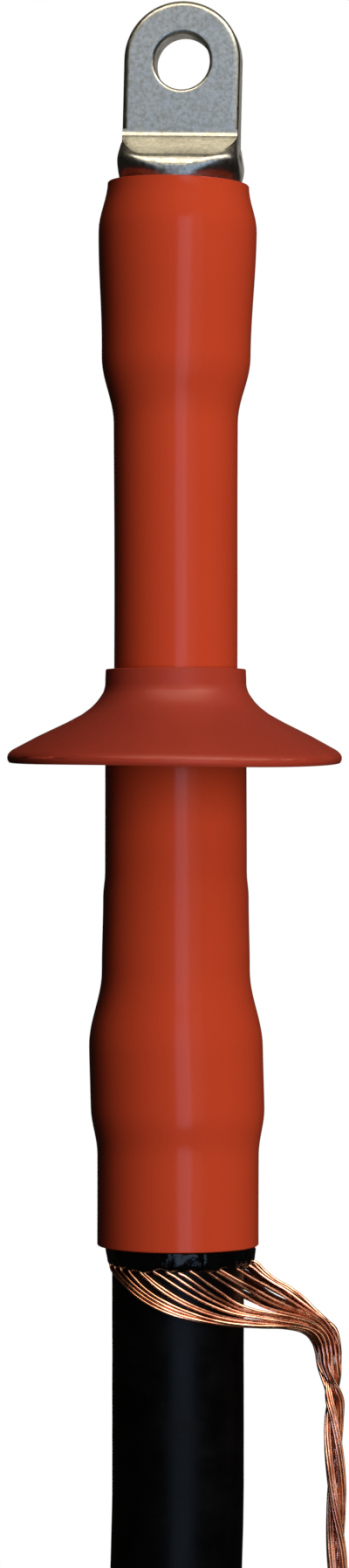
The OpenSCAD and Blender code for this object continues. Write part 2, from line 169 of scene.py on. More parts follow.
# The sheath's wall, broken edge and unevenness
SHEATH_WALL = 2.1
SHEATH_EDGE = 0.25
SHEATH_SWELL = 0.05

# The screen wires where they lie under the sheath, on it and in the fan
WIRE_COUNT = 32
WIRE_LAY = 17.875
WIRE_BACK = 21.565
FAN_TOP = 376.6
GATHER_DEPTH = 404.8
LEAD_OFFSET = 49.4
GATHER_PITCH = 1.23
# How far the bundle's outermost column stands outside the lead
BUNDLE_SIDE = 2.3
# How many wires stand in each column of the gathered bundle, from the outside of the bend
COLUMNS = (2, 2, 3, 3, 3, 2, 1)
# Stations along a wire's way to the lead, and how far its place in the bundle spreads it sideways there
WAY = (0, 0.05, 0.12, 0.21, 0.32, 0.45, 0.6, 0.75, 0.87, 0.95, 0.985, 1)
ROW_SPREAD = 0.5
SIDE_SPREAD = (0, 0, 0, 0, 0.3, 0.7, 1, 1, 0.7, 0.3, 0.1, 0)
# How far a wire strays from its way, downwards and outwards
FAN_DROOP = 0.4
FAN_STRAY = 0.5
# Where the front wires leave the mastic, in degrees from the lead round by the front
FRONT_STARTS = (
    4.0, 17.0, 34.2, 52.3, 57.2, 63.5, 74.3, 84.7,
    94.1, 105.7, 115.3, 118.3, 130.5, 140.5, 150.5, 161.5,
)
# Falls of some of the front and back wires at those stations; the others lie between them
FRONT_FALLS = (
    (0, (-1.2, -0.9, 0.0, 2.6, 5.1, 7.2, 10.4, 14.6, 18.2, 22.4, 25.2, 28.2)),
    (2, (-0.6, 0.6, 2.2, 4.1, 6.1, 8.5, 11.7, 15.0, 18.0, 21.8, 24.8, 28.2)),
    (4, (-0.3, 0.9, 2.6, 4.8, 7.5, 10.6, 13.1, 15.4, 18.0, 21.4, 24.5, 28.2)),
    (5, (-0.2, 1.3, 3.4, 5.9, 8.7, 11.9, 14.2, 16.0, 18.2, 21.2, 24.3, 28.2)),
    (6, (0.2, 2.1, 4.6, 7.5, 11.1, 13.5, 14.8, 16.3, 18.2, 21.0, 24.2, 28.2)),
    (7, (0.5, 2.3, 4.8, 7.9, 11.0, 13.8, 15.3, 17.1, 18.7, 21.0, 24.2, 28.2)),
    (9, (0.3, 2.2, 4.8, 8.0, 11.3, 14.2, 15.9, 17.4, 18.9, 21.0, 24.2, 28.2)),
    (10, (0.5, 3.2, 6.1, 9.4, 12.7, 15.4, 17.0, 18.0, 19.0, 21.0, 24.2, 28.2)),
    (12, (0.4, 3.6, 7.1, 10.4, 13.5, 16.1, 17.7, 18.5, 19.2, 21.2, 24.4, 28.2)),
    (15, (0.8, 2.8, 5.2, 9.2, 13.1, 16.0, 18.1, 19.2, 19.9, 21.8, 24.8, 28.2)),
)
BACK_FALLS = (
    (0, (0.0, -0.1, 1.8, 4.2, 6.3, 8.4, 11.2, 15.3, 18.5, 20.6, 24.2, 28.2)),
    (2, (0.0, 1.0, 2.6, 4.9, 7.3, 9.2, 11.4, 15.0, 18.3, 20.6, 24.2, 28.2)),
    (4, (0.0, 0.9, 2.1, 3.7, 6.4, 9.2, 11.3, 14.1, 17.6, 20.6, 24.2, 28.2)),
    (6, (0.0, 0.8, 1.9, 3.3, 5.1, 8.5, 11.5, 14.0, 17.5, 20.6, 24.2, 28.2)),
    (8, (0.0, 0.8, 1.9, 3.3, 5.0, 7.0, 11.3, 13.7, 16.5, 20.6, 24.2, 28.2)),
    (10, (0.0, 0.8, 1.9, 3.4, 5.1, 7.2, 10.5, 13.7, 15.8, 20.6, 24.2, 28.2)),
    (12, (0.0, 0.9, 2.1, 3.7, 5.6, 7.8, 10.5, 14.5, 16.5, 20.8, 24.2, 28.2)),
    (15, (0.0, 0.9, 2.3, 4.0, 6.0, 8.5, 11.3, 14.9, 16.7, 20.4, 24.2, 28.2)),
)

# The twisted lead
LEAD_END = 528.0
# Where its centreline starts, and how far and how soon it drifts outwards
LEAD_START = LEAD_OFFSET + 0.3
LEAD_DRIFT = 1.2
LEAD_DRIFT_RATE = 1.6
STRAND_HELIX = 1.9
# The stretch over which the wires come together, and a wire's own turn for each of its strand's
GATHER_RUN = 16.0
OWN_TURN = 0.6
# A strand's outer wires: how many, and their ring; the rest lie on a smaller ring inside
RING_WIRES = 7
CORE_WIRES = 4
STRAND_RING = 1.0
CORE_RING = 0.35
# Degrees by which the strands are turned at the top, and by how much more a little lower
TWIST_START = 30
TWIST_MORE = 41

# The photograph's camera
CAMERA_DISTANCE = 1.37
CAMERA_AZIMUTH = math.radians(6)
CAMERA_DEPTH = 226.4
CAMERA_SIDE = 0.0004

# Groups of pieces that cards shine on; the trim is all that shows but the tube
LUG = "lug_pieces"
TUBE = "tube_pieces"
COPPER = "copper_pieces"
TRIM = "trim_pieces"

# Lamps that light the object: name, azimuth, elevation and distance, size, radiance and colour
LAMPS = (
    ("key", (31, 5, 1.7), (0.7, 1.6), 7.7, (1.0, 0.97, 0.93)),
    ("top", (30, 62, 1.3), (0.8, 0.8), 3.4, (1.0, 0.95, 0.88)),
    ("back", (180, 20, 1.7), (0.9, 1.2), 4.5, (1.0, 0.97, 0.93)),
)
# Cards that shine in a group's gloss: the group, the same, then the depth and side they look at
CARDS = (
    (TRIM, "window", (14, 0, 1.5), (0.9, 1.4), 1.2, (0.5, 0.7, 1.0), CAMERA_DEPTH, 0.0),
    (TUBE, "tube_card", (16, 0, 1.5), (0.5, 1.4), 1.5, (0.5, 0.7, 1.0), CAMERA_DEPTH, 0.0),
    (TRIM, "front_card", (10, 58, 1.2), (1.6, 0.6), 3.8, (1.0, 0.9, 0.7), CAMERA_DEPTH, 0.0),
    (TRIM, "right_card", (60, 44, 1.3), (0.9, 0.6), 2.6, (1.0, 0.92, 0.8), CAMERA_DEPTH, 0.0),
    (COPPER, "wire_card", (22, 30, 0.45), (0.5, 0.44), 4.8, (0.87, 0.95, 1.0), 392, 4.0),
    (LUG, "palm_card", (-12, 12, 0.6), (0.36, 0.2), 0.64, (0.82, 0.88, 1.0), 0, 0.0),
    (LUG, "edge_card", (55, 10, 0.6), (0.5, 0.08), 2.0, (1.0, 0.93, 0.8), 0, 0.0),
    (LUG, "side_card", (84, 11, 0.6), (0.16, 0.1), 1.5, (0.85, 0.93, 1.0), 0, 0.0),
    (LUG, "rear_card", (177, 0, 0.6), (0.3, 0.34), 0.55, (1.0, 0.95, 0.88), 0, 0.0),
    (LUG, "ramp_card", (180, 57, 0.4), (0.25, 0.12), 0.65, (1.0, 0.78, 0.48), 28, 0.0),
    (COPPER, "lead_card", (66, -6, 0.4), (0.2, 0.36), 1.9, (1.0, 0.93, 0.8), 458, 51.0),
    (COPPER, "lead_glint", (-6, -9, 0.4), (0.1, 0.06), 13.0, (0.4, 0.5, 1.0), 462, 54.0),
    (LUG, "nose_card", (5, 60, 0.45), (0.5, 0.16), 0.25, (1.0, 0.95, 0.78), 28, 0.0),
)

# Finishes of pieces that keep their CAD solids: the nodes, then the arguments of clouded
BOLT_FINISH = (
    ("shear_bolts",), "bolt_brass",
    (0.7, 0.52, 0.25), (0.5, 0.36, 0.16), 150.0, (0.25, 0.4), 1500.0, 0.03, 1.0,
)
EARTH_LUG_FINISH = (
    ("earth_lug",), "tinned_copper",
    (0.62, 0.62, 0.63), (0.5, 0.48, 0.45), 200.0, (0.28, 0.42), 1600.0, 0.05, 1.0,
)
LAYER_FINISHES = (
    (("conductor",), "conductor_metal",
     (0.74, 0.74, 0.75), (0.6,) * 3, 160.0, (0.25, 0.42), 1400.0, 0.05, 1.0),
    (("conductor_screen", "insulation_screen"), "semicon",
     (0.012,) * 3, (0.02,) * 3, 120.0, (0.55, 0.7), 1200.0, 0.05),
    (("insulation",), "xlpe",
     (0.8, 0.79, 0.73), (0.76, 0.74, 0.66), 60.0, (0.32, 0.45), 900.0, 0.03),
    (("void_filler",), "yellow_filler",
     (0.7, 0.52, 0.1), (0.6, 0.42, 0.07), 90.0, (0.3, 0.5), 500.0, 0.2),
    (("stress_control_tube",), "stress_grading",
     (0.03,) * 3, (0.04,) * 3, 90.0, (0.5, 0.65), 1200.0, 0.05),
    (("bedding_tape",), "swelling_tape",
     (0.06,) * 3, (0.1,) * 3, 400.0, (0.8, 0.95), 2200.0, 0.15),
    (("separator_tape",), "white_tape",
     (0.75, 0.73, 0.68), (0.66, 0.63, 0.56), 300.0, (0.75, 0.9), 2200.0, 0.12),
)


def at_depth(depth):
    """Height in the shared frame of a depth below the palm hole."""
    return (RAISE - depth) * MM


def depth_of(height):
    """Depth below the palm hole of a height in the shared frame."""
    return RAISE - height / MM


def from_axis(x, y, depth):
    """A point in the shared frame, given about the cable's axis."""
    return Vector((AXIS_X + x * MM, y * MM, at_depth(depth)))


def eased(share):
    """A smooth step from 0 to 1."""
    share = min(1.0, max(0.0, share))
    return (1 - math.cos(math.pi * share)) / 2


def eased_outline(knots, step):
    """Radius and depth along knots of depth and radius, eased from each one to the next."""
    points = []
    for (top, start), (bottom, end) in zip(knots, knots[1:]):
        count = max(1, round((bottom - top) / step))
        for i in range(count):
            share = i / count
            points.append((start + (end - start) * eased(share), top + (bottom - top) * share))
    points.append((knots[-1][1], knots[-1][0]))
    return points


def spin_round(shape, verts, centre, axis, steps):
    """Joins points to a closed outline and spins it once round an axis."""
    edges = [shape.edges.new(pair) for pair in zip(verts, verts[1:] + verts[:1])]
    bmesh.ops.spin(
        shape,
        geom=verts + edges,
        cent=centre,
        axis=axis,
        angle=math.tau,
        steps=steps,
        use_merge=True,
    )


def welded(shape):
    """Welds a shape's seams and turns its faces outward."""
    bmesh.ops.remove_doubles(shape, verts=shape.verts[:], dist=WELD)
    bmesh.ops.recalc_face_normals(shape, faces=shape.faces[:])
    return shape


def turned(outline, steps):
    """Spins a closed outline of radius and depth once round the cable's axis."""
    shape = bmesh.new()
    verts = [shape.verts.new(from_axis(radius, 0, depth)) for radius, depth in outline]
    spin_round(shape, verts, (AXIS_X, 0, 0), (0, 0, 1), steps)
    return welded(shape)


def outward(point):
    """The direction from the cable's axis to a point."""
    return Vector((point.x - AXIS_X, point.y, 0)).normalized()


def lean_over(shape, share):
    """Bends a turned shape so that its top follows a share of the lug's lean."""
    top, bottom = LEAN_DEPTH - LEAN_RUN / 2, LEAN_DEPTH + LEAN_RUN / 2
    for vert in shape.verts:
        depth = depth_of(vert.co.z)
        turn = min(1.0, max(0.0, (bottom - depth) / LEAN_RUN))
        run = LEAN_DEPTH - depth if depth < top else turn * turn * LEAN_RUN / 2
        vert.co.z -= (vert.co.x - AXIS_X) * LEAN * share * turn
        vert.co.x += run * MM * LEAN * share


def in_lug(x, y, depth):
    """A point in the shared frame, given about the leaning lug with its palm hole at the origin."""
    across = x * math.cos(LEAN) - depth * math.sin(LEAN)
    return Vector((across, y, -x * math.sin(LEAN) - depth * math.cos(LEAN))) * MM


def sway(depth):
    """How far the cable wanders sideways between the tube's foot and its own end."""
    return SWAY * eased((depth - SWAY_FROM) / SWAY_RUN) * eased((CABLE_END - depth) / SWAY_RUN)


def sway_over(shape):
    """Moves a turned shape sideways with the cable."""
    for vert in shape.verts:
        vert.co.x += sway(depth_of(vert.co.z)) * MM


def finished(name, shape, sharp=35.0):
    """Makes a bmesh into an object at the origin, smooth except at corners sharper than an angle."""
    for face in shape.faces:
        face.smooth = True
    for edge in shape.edges:
        edge.smooth = not edge.is_manifold or edge.calc_face_angle() < math.radians(sharp)
    mesh = bpy.data.meshes.new(name)
    shape.to_mesh(mesh)
    shape.free()
    return in_scene(name, mesh)


def in_scene(name, data):
    """Links a new object for a mesh, a lamp or a camera."""
    obj = bpy.data.objects.new(name, data)
    bpy.context.scene.collection.objects.link(obj)
    return obj


def swept(name, paths, radius):
    """Round wires along paths, made as one mesh."""
    curve = bpy.data.curves.new(name, "CURVE")
    curve.dimensions = "3D"
    curve.resolution_u = 5
    curve.bevel_depth = radius
    curve.bevel_resolution = 2
    curve.use_fill_caps = True
    for path in paths:
        spline = curve.splines.new("BEZIER")
        spline.bezier_points.add(len(path) - 1)
        for knot, place in zip(spline.bezier_points, path):
            knot.co = place
            knot.handle_left_type = "AUTO"
            knot.handle_right_type = "AUTO"
    holder = in_scene(name + "_line", curve)
    evaluated = holder.evaluated_get(bpy.context.evaluated_depsgraph_get())
    mesh = bpy.data.meshes.new_from_object(evaluated)
    bpy.data.objects.remove(holder)
    bpy.data.curves.remove(curve)
    shape = bmesh.new()
    shape.from_mesh(mesh)
    bpy.data.meshes.remove(mesh)
    return finished(name, welded(shape), 60.0)


def dress(piece, material, slot, *nodes):
    """Gives a piece its material, rides it on the body and lets it stand for CAD nodes; the slot is not
    used.
    """
    piece.data.materials.clear()
    piece.data.materials.append(material)
    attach(piece, "root")
    if nodes:
        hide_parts(*nodes)


def paint(material, *nodes):
    """Gives CAD nodes that stay in view a finished material."""
    for name in nodes:
        slots = frame["nodes"][name].data.materials
        slots.clear()
        slots.append(material)


# Shader building


def add(tree, kind, inputs=None, **settings):
    """Adds a node, sets its options and feeds its inputs with values or sockets."""
    node = tree.nodes.new(kind)
    for key, value in settings.items():
        setattr(node, key, value)
    feed(tree, node, inputs or {})
    return node


def feed(tree, node, inputs):
    """Feeds a node's inputs, by name or number, with values or sockets."""
    for key, value in inputs.items():
        if isinstance(value, bpy.types.NodeSocket):
            tree.links.new(value, node.inputs[key])
        else:
            node.inputs[key].default_value = value


def new_group(name, inputs, outputs):
    """Starts a shader node group with named sockets, and returns its tree, input and output."""
    tree = bpy.data.node_groups.new(name, "ShaderNodeTree")
    for label, kind, default in inputs:
        socket = tree.interface.new_socket(label, in_out="INPUT", socket_type=kind)
        if default is not None:
            socket.default_value = default
    for label, kind in outputs:
        tree.interface.new_socket(label, in_out="OUTPUT", socket_type=kind)
    return tree, tree.nodes.new("NodeGroupInput").outputs, tree.nodes.new("NodeGroupOutput")


def grain_group():
    """Fine grain that is even in all directions or drawn out along one: a mask and a height."""
    tree, given, result = new_group(
        "Grain",
        (
            ("Vector", "NodeSocketVector", None),
            ("Stretch", "NodeSocketVector", (1.0, 1.0, 1.0)),
            ("Scale", "NodeSocketFloat", 1000.0),
            ("Detail", "NodeSocketFloat", 3.0),
        ),
        (("Mask", "NodeSocketFloat"), ("Height", "NodeSocketFloat")),
    )
    stretch = {0: given["Vector"], 1: given["Stretch"]}
    drawn = add(tree, "ShaderNodeVectorMath", stretch, operation="MULTIPLY")
    speckle = {"Scale": given["Scale"], "Detail": given["Detail"], "Roughness": 0.6}
    field = add(tree, "ShaderNodeTexNoise", {"Vector": drawn.outputs[0], **speckle}).outputs["Fac"]
    mask = add(tree, "ShaderNodeMapRange", {"Value": field, "From Min": 0.3, "From Max": 0.7})
    feed(tree, result, {"Mask": mask.outputs["Result"], "Height": field})
    return tree


def stain_group():
    """Clouded change from a clean colour to a stained one."""
    tree, given, result = new_group(
        "Stain",
        (
            ("Vector", "NodeSocketVector", None),
            ("Scale", "NodeSocketFloat", 60.0),
            ("Amount", "NodeSocketFloat", 0.5),
            ("Clean", "NodeSocketColor", (0.8, 0.8, 0.8, 1.0)),
            ("Stained", "NodeSocketColor", (0.4, 0.4, 0.4, 1.0)),
        ),
        (("Color", "NodeSocketColor"), ("Mask", "NodeSocketFloat")),
    )
    patches = {"Scale": given["Scale"], "Detail": 4.0, "Roughness": 0.55}
    field = add(tree, "ShaderNodeTexNoise", {"Vector": given["Vector"], **patches}).outputs["Fac"]
    cloud = add(tree, "ShaderNodeMapRange", {"Value": field, "From Min": 0.38, "From Max": 0.68})
    share = {0: cloud.outputs["Result"], 1: given["Amount"]}
    mask = add(tree, "ShaderNodeMath", share, operation="MULTIPLY").outputs[0]
    colours = {"A": given["Clean"], "B": given["Stained"]}
    blend = add(tree, "ShaderNodeMix", {"Factor": mask, **colours}, data_type="RGBA")
    feed(tree, result, {"Color": blend.outputs["Result"], "Mask": mask})
    return tree


def use_group(tree, name, inputs):
    """Places a shared node group in a material."""
    makers = {"Grain": grain_group, "Stain": stain_group}
    group = bpy.data.node_groups.get(name) or makers[name]()
    node = tree.nodes.new("ShaderNodeGroup")
    node.node_tree = group
    feed(tree, node, inputs)
    return node


def new_material(name):
    """Starts a material, and returns it with its tree, its Principled shader and Object coordinates."""
    material = bpy.data.materials.new(name)
    material.use_nodes = True
    tree = material.node_tree
    tree.nodes.clear()
    shader = add(tree, "ShaderNodeBsdfPrincipled")
    add(tree, "ShaderNodeOutputMaterial", {"Surface": shader.outputs["BSDF"]})
    return material, tree, shader, add(tree, "ShaderNodeTexCoord").outputs["Object"]


def spread(tree, value, low, high):
    """Maps a mask of 0 to 1 onto a range, such as a roughness."""
    span = add(tree, "ShaderNodeMapRange", {"Value": value, "To Min": low, "To Max": high})
    return span.outputs["Result"]


def bumped(tree, height, depth, strength, below=None):
    """A bump of a depth in millimetres, on top of another one where given."""
    inputs = {"Height": height, "Distance": depth * MM, "Strength": strength}
    if below is not None:
        inputs["Normal"] = below
    return add(tree, "ShaderNodeBump", inputs).outputs["Normal"]


def rgba(colour):
    """A colour property as the four numbers of a socket."""
    return (*colour[:3], 1.0)


def stained(tree, place, scale, amount, clean, stain):
    """Clouds a clean colour with a stain."""
    clouds = {"Scale": scale, "Amount": amount, "Clean": rgba(clean), "Stained": rgba(stain)}
    return use_group(tree, "Stain", {"Vector": place, **clouds}).outputs


def grained(tree, place, scale, detail=3.0, stretch=(1.0, 1.0, 1.0)):
    """Grain for a roughness or a bump."""
    fineness = {"Stretch": stretch, "Scale": scale, "Detail": detail}
    return use_group(tree, "Grain", {"Vector": place, **fineness}).outputs


def clouded(name, clean, stain_colour, stain_scale, rough, grain_scale, depth, metallic=0.0):
    """A plain material: clouded colour, grained roughness and a fine bump."""
    material, tree, shader, place = new_material(name)
    stain = stained(tree, place, stain_scale, 0.7, clean, stain_colour)
    grain = grained(tree, place, grain_scale)
    feed(tree, shader, {
        "Base Color": stain["Color"],
        "Roughness": spread(tree, grain["Mask"], rough[0], rough[1]),
        "Normal": bumped(tree, grain["Height"], depth, 0.5),
        "Metallic": metallic,
    })
    return material


def paint_plain(finish):
    """Gives CAD nodes one of the plain finishes."""
    nodes, *values = finish
    paint(clouded(*values), *nodes)


def tinned_metal(look):
    """Matt tin over the lug, with a fine even grain and brownish stains."""
    material, tree, shader, place = new_material("tinned_metal")
    stain = stained(tree, place, 900.0, 0.85, look.tin_colour, look.stain_colour)
    grain = grained(tree, place, 700.0, 5.0, (1.0, 1.0, 0.6))
    feed(tree, shader, {
        "Base Color": stain["Color"],
        "Metallic": 1.0,
        "Roughness": spread(tree, grain["Mask"], 0.26, 0.42),
        "Normal": bumped(tree, grain["Height"], 0.12, 0.4),
    })
    return material


def red_tubing(look):
    """Satin red heat-shrink tubing with faint lines along its length."""
    material, tree, shader, place = new_material("red_tubing")
    stain = stained(tree, place, 22.0, 0.35, look.tube_colour, look.tube_shade)
    lines = grained(tree, place, 420.0, 2.0, (1.0, 1.0, 0.03))
    grain = grained(tree, place, 1500.0)
    skin = bumped(tree, grain["Height"], 0.03, 0.35)
    feed(tree, shader, {
        "Base Color": stain["Color"],
        "Roughness": spread(tree, lines["Mask"], 0.5, 0.58),
        "Specular IOR Level": 0.1,
        "Coat Weight": 0.6,
        "Coat Roughness": 0.16,
        "Normal": bumped(tree, lines["Height"], 0.02, 0.3, skin),
    })
    return material


def red_skirt(look):
    """Matt moulded red of the rain skirt."""
    material, tree, shader, place = new_material("red_skirt")
    stain = stained(tree, place, 40.0, 0.5, look.skirt_colour, look.skirt_shade)
    grain = grained(tree, place, 1300.0)
    feed(tree, shader, {
        "Base Color": stain["Color"],
        "Roughness": spread(tree, grain["Mask"], 0.3, 0.42),
        "Specular IOR Level": 0.25,
        "Normal": bumped(tree, grain["Height"], 0.04, 0.4),
    })
    return material


def black_mastic(look):
    """Glossy black sealing mastic, wrinkled where it was pressed out."""
    material, tree, shader, place = new_material("black_mastic")
    stain = stained(tree, place, 200.0, 0.6, look.mastic_colour, (0.003, 0.003, 0.0035))
    wrinkle = grained(tree, place, 480.0)
    feed(tree, shader, {
        "Base Color": stain["Color"],
        "Roughness": spread(tree, wrinkle["Mask"], 0.05, 0.12),
        "Normal": bumped(tree, wrinkle["Height"], 0.4, 0.8),
    })
    return material


def bright_copper(look):
    """Drawn copper wire with patches of brown tarnish."""
    material, tree, shader, place = new_material("bright_copper")
    stain = stained(tree, place, 150.0, 0.9, look.copper_colour, look.tarnish_colour)
    grain = grained(tree, place, 900.0)
    feed(tree, shader, {
        "Base Color": stain["Color"],
        "Metallic": 0.94,
        "Roughness": spread(tree, grain["Mask"], 0.13, 0.22),
        "Normal": bumped(tree, grain["Height"], 0.02, 0.12),
    })
    return material


def black_sheath(look):
    """Black polymer sheath, a little dusty and dulled in patches, with faint rings from handling."""
    material, tree, shader, place = new_material("black_sheath")
    stain = stained(tree, place, 70.0, 1.0, look.sheath_colour, look.sheath_dust)
    rings = grained(tree, place, 500.0, 5.0, (0.1, 0.1, 1.0))
    dull = add(tree, "ShaderNodeMath", {0: stain["Mask"], 1: rings["Mask"]}, operation="MULTIPLY")
    feed(tree, shader, {
        "Base Color": stain["Color"],
        "Roughness": spread(tree, dull.outputs[0], 0.34, 0.6),
        "Specular IOR Level": 0.2,
        "Normal": bumped(tree, rings["Height"], 0.03, 0.25),
    })
    return material


# Pieces


def make_shoulder():
    """The lug's shoulder, drawn from the flat palm over the ramps to the round barrel."""
    shape = bmesh.new()
    before = []
    for depth, wide, deep, corner in SHOULDER:
        verts = []
        for quarter in range(4):
            side_x = 1 if quarter in (0, 3) else -1
            side_y = 1 if quarter < 2 else -1
            for step in range(CORNER_STEPS + 1):
                angle = math.pi / 2 * (quarter + step / CORNER_STEPS)
                x = side_x * (wide - corner) + corner * math.cos(angle)
                y = side_y * (deep - corner) + corner * math.sin(angle)
                verts.append(shape.verts.new(in_lug(x, y, depth)))
        ring = [shape.edges.new(pair) for pair in zip(verts, verts[1:] + verts[:1])]
        if before:
            bmesh.ops.bridge_loops(shape, edges=before + ring)
        before = ring
    bmesh.ops.holes_fill(shape, edges=shape.edges[:], sides=0)
    bmesh.ops.recalc_face_normals(shape, faces=shape.faces[:])
    return finished("lug_shoulder", shape, 50.0)


def make_hole_rims():
    """The rounded rims of the palm hole, front and back."""
    shape = bmesh.new()
    for side in (-1, 1):
        outline = [(HOLE_R + HOLE_ROUND, PALM_FACE - HOLE_ROUND)]
        for step in range(CORNER_STEPS + 1):
            angle = math.pi / 2 * step / CORNER_STEPS
            radius = HOLE_R + HOLE_ROUND * (1 - math.cos(angle))
            outline.append((radius, PALM_FACE + HOLE_ROUND * (math.sin(angle) - 1)))
        verts = [shape.verts.new(in_lug(radius, side * y, 0)) for radius, y in outline]
        spin_round(shape, verts, (0, 0, 0), (0, 1, 0), 96)
    return finished("palm_hole_rims", welded(shape), 50.0)


def make_tube(look):
    """The red anti-tracking tube, shrunk on what is under it and cut a little askew at the top."""
    outer = eased_outline(TUBE_KNOTS, 2.0)
    wall = look.tube_wall / MM
    top_r = outer[0][0]
    bottom_r = outer[-1][0]
    inner = [(radius - wall, depth) for radius, depth in reversed(outer)]
    top = [(top_r - TUBE_EDGE, TUBE_TOP), (top_r, TUBE_TOP + TUBE_EDGE)]
    bottom = [(bottom_r, TUBE_BOTTOM - TUBE_EDGE), (bottom_r - TUBE_EDGE, TUBE_BOTTOM)]
    shape = turned(top + outer[1:-1] + bottom + inner, 128)
    for vert in shape.verts:
        depth = depth_of(vert.co.z)
        swell = noise.noise(Vector((vert.co.x * 60, vert.co.y * 60, vert.co.z * 18)))
        vert.co += outward(vert.co) * swell * look.tube_ripple
        askew = 1 - eased((depth - TUBE_TOP) / TUBE_ASKEW_RUN)
        vert.co.z -= (vert.co.x - AXIS_X) * TUBE_ASKEW * askew
    lean_over(shape, TUBE_LEAN)
    sway_over(shape)
    return finished("red_tube", shape)


def make_skirt(look):
    """The rain skirt with its collar, its rim a little wavy and tilted."""
    shape = turned(list(SKIRT_OUTSIDE + SKIRT_UNDERSIDE), 160)
    flat, sharp = math.radians(4), math.radians(40)
    solid = [edge for edge in shape.edges if edge.is_manifold]
    bmesh.ops.bevel(
        shape,
        geom=[edge for edge in solid if flat < edge.calc_face_angle() < sharp],
        offset=SKIRT_ROUND * MM,
        segments=2,
        profile=0.5,
        affect="EDGES",
        material=-1,
        clamp_overlap=True,
    )
    for vert in shape.verts:
        across = vert.co.x - AXIS_X
        radius = math.hypot(across, vert.co.y) / MM
        angle = math.atan2(vert.co.y, across)
        flare = eased((radius - FLARE_FROM) / FLARE_RUN)
        vert.co.z += math.sin(3 * angle + 0.6) * flare * look.skirt_wave
        vert.co.z += (vert.co.y * SKIRT_SLOPE_Y - across * SKIRT_SLOPE_X) * flare
        vert.co.x -= SKIRT_SHIFT * MM * flare
    return finished("rain_skirt_dressed", shape, 30.0)


def make_mastic_band(look):
    """The mastic over the folded wires: a film under the tube and a lumpy band below it."""
    top = depth_of(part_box("outer_seal_mastic")[1][2])
    shares = [i / FILM_STEPS for i in range(FILM_STEPS + 1)]
    film = [(FILM_INSIDE, top + (FILM_INSIDE_END - top) * share) for share in reversed(shares)]
    film += [(FILM_OUTSIDE, top + (FILM_OUTSIDE_END - top) * share) for share in shares]
    shape = turned(film + list(BAND), 320)
    for vert in shape.verts:
        depth = depth_of(vert.co.z)
        spot = vert.co / MM
        lump = noise.fractal(spot * 0.22, 0.9, 2.1, 4)
        drip = noise.noise(spot * 0.3 + Vector((7, 3, 1)))
        free = eased((depth - BAND_FREE) / 2)
        low = eased((depth - DRIP_FROM) / 5)
        vert.co += outward(vert.co) * lump * look.lump_height * free
        vert.co.x += BAND_SHIFT * MM * free
        vert.co.z -= drip * low * DRIP * MM
    sway_over(shape)
    return finished("mastic_band", shape, 80.0)


def make_sheath():
    """The cable's outer sheath, its cut end just broken at the edges."""
    steps = 60
    run = (CABLE_END - SHEATH_CUT) / steps
    inside = SHEATH_R - SHEATH_WALL
    broken = SHEATH_R - SHEATH_EDGE
    outline = [(broken, SHEATH_CUT)]
    outline += [(SHEATH_R, SHEATH_CUT + SHEATH_EDGE + i * run) for i in range(steps)]
    outline += [(SHEATH_R, CABLE_END - SHEATH_EDGE), (broken, CABLE_END)]
    outline += [(inside, CABLE_END), (inside, SHEATH_CUT)]
    shape = turned(outline, 128)
    for vert in shape.verts:
        swell = noise.noise(Vector((vert.co.x * 50, vert.co.y * 50, vert.co.z * 90)))
        vert.co += outward(vert.co) * swell * SHEATH_SWELL * MM
    sway_over(shape)
    return finished("cable_sheath", shape)


def bundle_place(k):
    """Column and row of a screen wire in the gathered bundle."""
    column = 0
    while k >= COLUMNS[column]:
        k -= COLUMNS[column]
        column += 1
    return column, k


def start_angle(k, side):
    """The angle round the cable at which a screen wire leaves the mastic."""
    return math.radians(FRONT_STARTS[k]) if side < 0 else (k + 0.5) * math.tau / WIRE_COUNT


def fall_of(k, side, i):
    """How far a wire has fallen at a station of its way."""
    guides = FRONT_FALLS if side < 0 else BACK_FALLS
    for (first, low), (last, high) in zip(guides, guides[1:]):
        if first <= k <= last:
            return low[i] + (high[i] - low[i]) * (k - first) / (last - first)
    raise ValueError("no guide for wire %d" % k)


def fan_path(k, side):
    """A screen wire's way from the mastic to the lead, on the front (side -1) or the back (side 1)."""
    start = start_angle(k, side)
    column, row = bundle_place(k)
    goal = Vector((LEAD_OFFSET + BUNDLE_SIDE - GATHER_PITCH * column, GATHER_PITCH * (row + 0.5)))
    leave = math.acos(WIRE_BACK / goal.length) + math.atan2(goal.y, goal.x)
    turn = min(start, leave)
    tangent = Vector((WIRE_BACK * math.cos(turn), WIRE_BACK * math.sin(turn)))
    around = (start - turn) * WIRE_BACK
    straight = (goal - tangent).length
    points = []
    for i, share in enumerate(WAY):
        run = share * (around + straight)
        if run < around:
            angle = start - run / WIRE_BACK
            spot = Vector((WIRE_BACK * math.cos(angle), WIRE_BACK * math.sin(angle)))
        else:
            spot = tangent.lerp(goal, (run - around) / straight)
        loose = math.sin(math.pi * share)
        droop = loose * noise.noise(Vector((k * 3.1 + side, share * 2.5, 4.0)))
        stray = loose * abs(noise.noise(Vector((k * 2.3, share * 3, side))))
        fall = fall_of(k, side, i) + FAN_DROOP * droop
        out = row * ROW_SPREAD * SIDE_SPREAD[i] + FAN_STRAY * stray
        points.append(Vector((spot.x, side * (spot.y + out), FAN_TOP + fall)))
    return points


